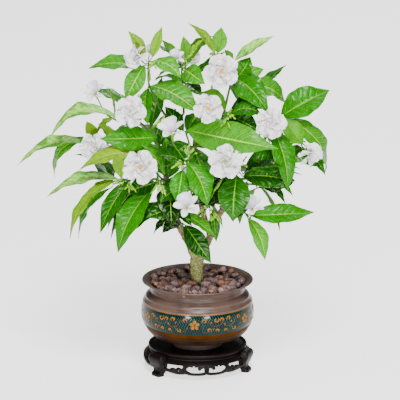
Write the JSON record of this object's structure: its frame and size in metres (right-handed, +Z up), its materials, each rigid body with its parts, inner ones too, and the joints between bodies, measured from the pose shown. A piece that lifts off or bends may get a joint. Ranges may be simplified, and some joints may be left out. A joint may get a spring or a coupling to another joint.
{
  "type": "potted double-flowered crape jasmine (pinwheel flower)",
  "caption": "Bushy potted crape jasmine with double white blooms in a round clay pot with a teal and gold band, topped with lava pebbles, on a carved dark wooden stand.",
  "frame": {"origin": "middle of the bounding box in plan, on the floor that the three feet stand on", "axes": "+Z up; the front of the pot and the fullest side of the crown face -Y; +X to the right as seen from the front"},
  "size_m": [0.495, 0.4022, 0.5783],
  "materials": {
    "lacquered_wood": "black-brown lacquer, satin to gloss",
    "clay": "matt unglazed brown-grey clay with a glossy teal and gold band",
    "soil": "dark crumbly potting soil",
    "lava_stone": "rough purple-brown lava rock",
    "bark": "rough mottled bark",
    "leaf": "glossy waxy leaf",
    "petal": "soft matt petal"
  },
  "bodies": {
    "root": {"stand_board": "lacquered_wood", "stand_leg_1": "lacquered_wood", "stand_apron_1": "lacquered_wood", "stand_leg_2": "lacquered_wood", "stand_apron_2": "lacquered_wood", "stand_leg_3": "lacquered_wood", "stand_apron_3": "lacquered_wood", "pot": "clay", "soil": "soil", "pebbles": "lava_stone", "trunk": "bark", "leafy_stem_01": "leaf", "leafy_stem_02": "leaf", "leafy_stem_03": "leaf", "leafy_stem_04": "leaf", "leafy_stem_05": "leaf", "leafy_stem_06": "leaf", "leafy_stem_07": "leaf", "leafy_stem_08": "leaf", "leafy_stem_09": "leaf", "leafy_stem_10": "leaf", "leafy_stem_11": "leaf", "leafy_stem_12": "leaf", "leafy_stem_13": "leaf", "leafy_stem_14": "leaf", "leafy_stem_15": "leaf", "leafy_stem_16": "leaf", "leafy_stem_17": "leaf", "leafy_stem_18": "leaf", "leafy_stem_19": "leaf", "leafy_stem_20": "leaf", "leafy_stem_21": "leaf", "leafy_stem_22": "leaf", "leafy_stem_23": "leaf", "leafy_stem_24": "leaf", "leafy_stem_25": "leaf", "leafy_stem_26": "leaf", "bloom_01": "petal", "bloom_02": "petal", "bloom_03": "petal", "bloom_04": "petal", "bloom_05": "petal", "bloom_06": "petal", "bloom_07": "petal", "bloom_08": "petal", "bloom_09": "petal", "bloom_10": "petal", "bloom_11": "petal", "bloom_12": "petal", "bloom_13": "petal", "bloom_14": "petal", "bloom_15": "petal", "bloom_16": "petal", "bloom_17": "petal", "bloom_18": "petal", "bloom_19": "petal"}
  },
  "joints": []
}
